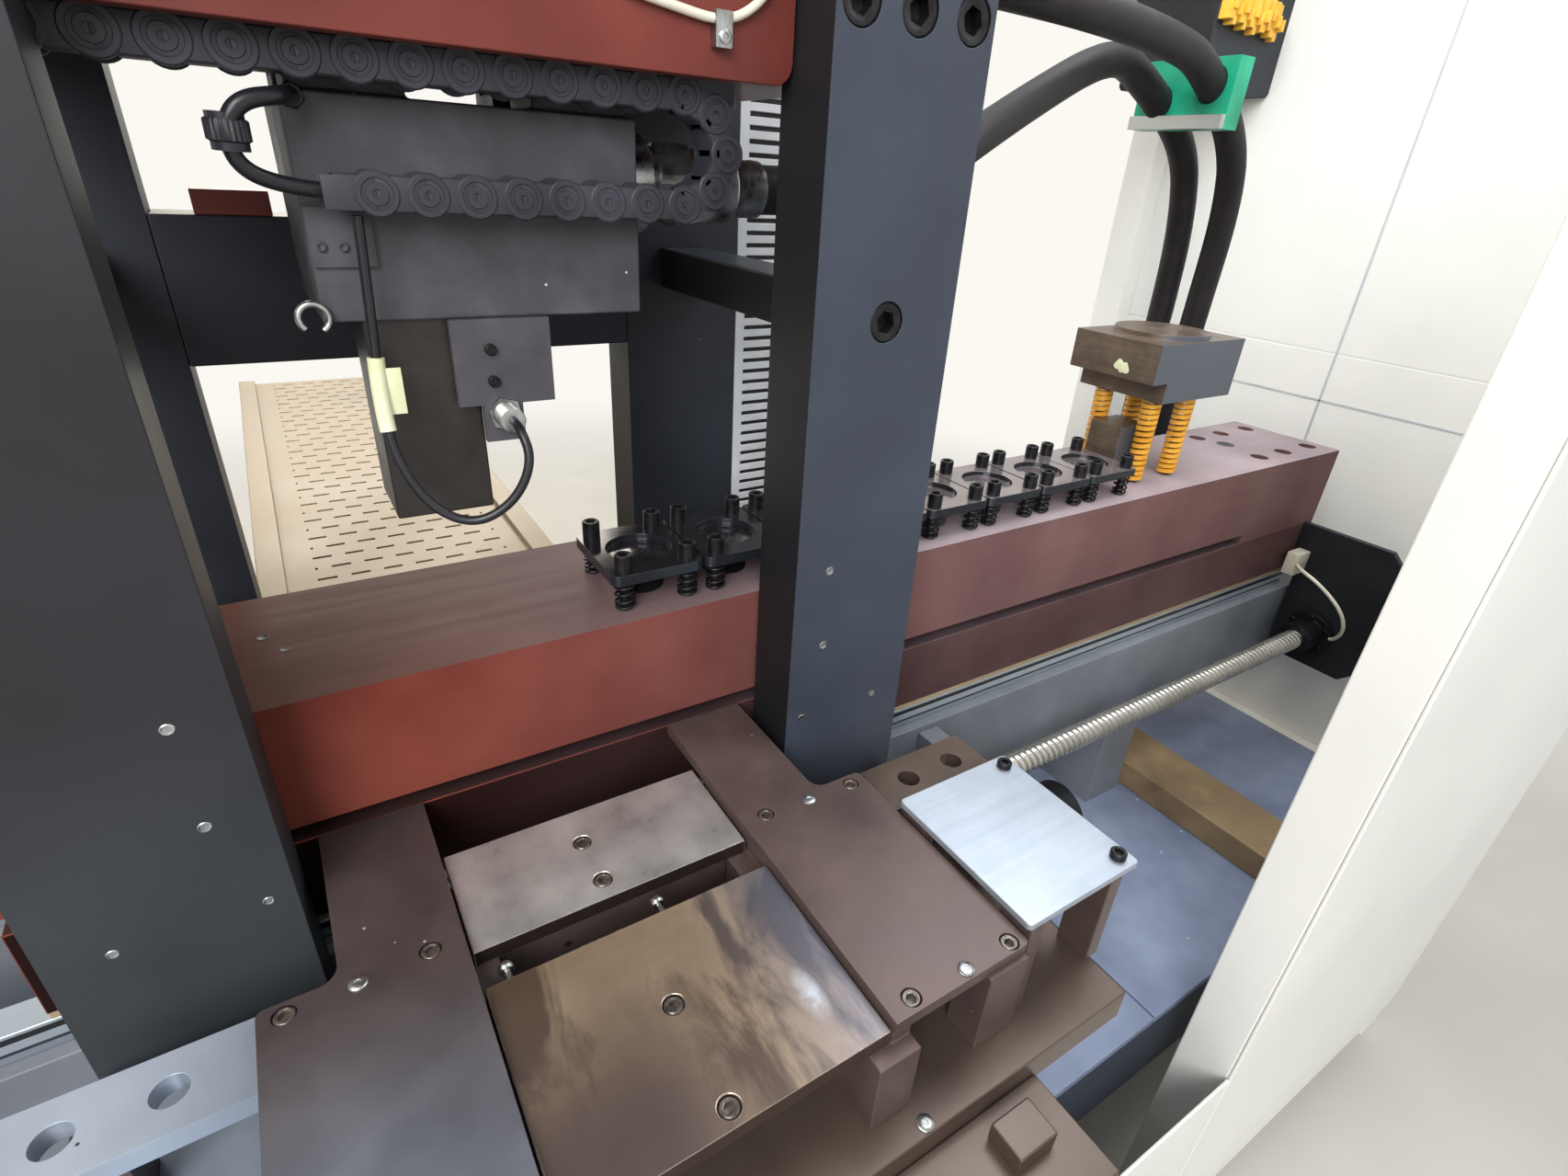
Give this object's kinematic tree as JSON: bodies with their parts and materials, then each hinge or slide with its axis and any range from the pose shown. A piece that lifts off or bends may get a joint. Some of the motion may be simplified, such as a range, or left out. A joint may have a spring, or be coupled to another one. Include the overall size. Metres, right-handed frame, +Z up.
{
  "type": "busbar processing machine",
  "caption": "Portal press with a punch head over a long sliding die beam of spring-lifted punches, infeed plates, slotted outfeed deck and sheet-metal guard.",
  "frame": {"origin": "on the floor, under the centre of the whole machine's box", "axes": "+X along the die beam towards the ball screw's end bearing, +Y along the feed from infeed to outfeed, +Z up"},
  "size_m": [2.84, 2.012, 2.054],
  "materials": {
    "dark_paint": "satin",
    "bed_paint": "satin",
    "beam_paint": "satin oxide brown",
    "crown_paint": "satin brick red",
    "table_steel": "blackened, oiled",
    "worn_steel": "worn and stained",
    "bright_steel": "ground",
    "black_screws": "black oxide",
    "black_tool": "black oxide",
    "spring_black": "black",
    "spring_yellow": "yellow orange",
    "bronze": "bronze",
    "aluminium": "bare",
    "zinc": "zinc plated",
    "tan_paint": "tan",
    "deck_steel": "pale tan",
    "enclosure_white": "fine satin",
    "head_paint": "dark grey",
    "duct_plastic": "grey",
    "black_plastic": "nylon",
    "hose_rubber": "braided cover",
    "clamp_green": "green",
    "cable_black": "black sheath"
  },
  "bodies": {
    "frame": {"bed_frame": "dark_paint", "bed_plates": "bed_paint", "levelling_feet": "zinc", "portal_posts": "dark_paint", "socket_screws": "black_screws", "crown_beam": "crown_paint", "portal_ties": "dark_paint", "stop_block": "crown_paint", "guide_rails": "bright_steel", "rail_supports": "dark_paint", "screw_bearings": "dark_paint", "servo_motor": "black_tool", "cross_tube": "tan_paint", "base_plates": "table_steel", "infeed_walls": "table_steel", "infeed_plate": "worn_steel", "shear_plate": "bright_steel", "table_plates": "table_steel", "side_bars": "table_steel", "cover_plate": "aluminium", "table_pins": "zinc", "cable_duct": "duct_plastic", "outfeed_deck": "deck_steel", "outfeed_frame": "deck_steel", "enclosure_frame": "enclosure_white", "side_walls": "enclosure_white", "front_panel": "enclosure_white", "upper_panels": "enclosure_white", "terminal_box": "dark_paint", "hose_clamp": "clamp_green", "hose_fittings": "zinc", "hose_a": "hose_rubber", "hose_b": "hose_rubber", "energy_chain": "black_plastic"},
    "die_beam": {"beam_lower_plate": "beam_paint", "beam_upper_plate": "beam_paint", "wear_strips": "bronze", "nut_plate": "dark_paint", "ball_nut": "black_tool", "station_screws": "black_screws", "station_springs": "spring_black", "forming_guide": "dark_paint", "forming_springs": "spring_yellow"},
    "ball_screw": {"ball_screw": "bright_steel"},
    "forming_tool": {"forming_block": "table_steel"},
    "punch_head": {"head_block": "head_paint", "head_fitting": "zinc", "sensor_bracket": "head_paint", "proximity_sensor": "zinc", "sensor_cable": "cable_black", "power_cable": "cable_black"},
    "ram": {"ram": "head_paint"},
    "punch_1": {"punch_station_1": "black_tool"},
    "punch_2": {"punch_station_2": "black_tool"},
    "punch_3": {"punch_station_3": "black_tool"},
    "punch_4": {"punch_station_4": "black_tool"},
    "punch_5": {"punch_station_5": "black_tool"},
    "punch_6": {"punch_station_6": "black_tool"},
    "punch_7": {"punch_station_7": "black_tool"},
    "punch_8": {"punch_station_8": "black_tool"}
  },
  "joints": [
    {"name": "beam_slide", "type": "slide", "parent": "frame", "child": "die_beam", "axis": [1, 0, 0], "range_m": [-0.7, 0.02]},
    {"name": "screw_turn", "type": "hinge", "parent": "frame", "child": "ball_screw", "pos_m": [0.9, -0.623, 0.752], "axis": [1, 0, 0], "range_deg": [-370, 12610]},
    {"name": "head_slide", "type": "slide", "parent": "frame", "child": "punch_head", "axis": [1, 0, 0], "range_m": [-0.09, 0.09], "deforming": ["hose_a", "energy_chain"]},
    {"name": "ram_stroke", "type": "slide", "parent": "punch_head", "child": "ram", "axis": [0, 0, 1], "range_m": [-0.055, 0.044]},
    {"name": "forming_stroke", "type": "slide", "parent": "die_beam", "child": "forming_tool", "axis": [0, 0, 1], "range_m": [-0.03, 0], "stiffness_N_per_m": 40000, "deforming": ["forming_springs"]},
    {"name": "punch_stroke_1", "type": "slide", "parent": "die_beam", "child": "punch_1", "axis": [0, 0, 1], "range_m": [-0.014, 0], "stiffness_N_per_m": 15000, "deforming": ["station_springs"]},
    {"name": "punch_stroke_2", "type": "slide", "parent": "die_beam", "child": "punch_2", "axis": [0, 0, 1], "range_m": [-0.014, 0], "stiffness_N_per_m": 15000, "deforming": ["station_springs"]},
    {"name": "punch_stroke_3", "type": "slide", "parent": "die_beam", "child": "punch_3", "axis": [0, 0, 1], "range_m": [-0.014, 0], "stiffness_N_per_m": 15000, "deforming": ["station_springs"]},
    {"name": "punch_stroke_4", "type": "slide", "parent": "die_beam", "child": "punch_4", "axis": [0, 0, 1], "range_m": [-0.014, 0], "stiffness_N_per_m": 15000, "deforming": ["station_springs"]},
    {"name": "punch_stroke_5", "type": "slide", "parent": "die_beam", "child": "punch_5", "axis": [0, 0, 1], "range_m": [-0.014, 0], "stiffness_N_per_m": 15000, "deforming": ["station_springs"]},
    {"name": "punch_stroke_6", "type": "slide", "parent": "die_beam", "child": "punch_6", "axis": [0, 0, 1], "range_m": [-0.014, 0], "stiffness_N_per_m": 15000, "deforming": ["station_springs"]},
    {"name": "punch_stroke_7", "type": "slide", "parent": "die_beam", "child": "punch_7", "axis": [0, 0, 1], "range_m": [-0.014, 0], "stiffness_N_per_m": 15000, "deforming": ["station_springs"]},
    {"name": "punch_stroke_8", "type": "slide", "parent": "die_beam", "child": "punch_8", "axis": [0, 0, 1], "range_m": [-0.014, 0], "stiffness_N_per_m": 15000, "deforming": ["station_springs"]}
  ],
  "couplings": [
    {"joint": "screw_turn", "follows": "beam_slide", "rad_per_m": -314.16}
  ]
}
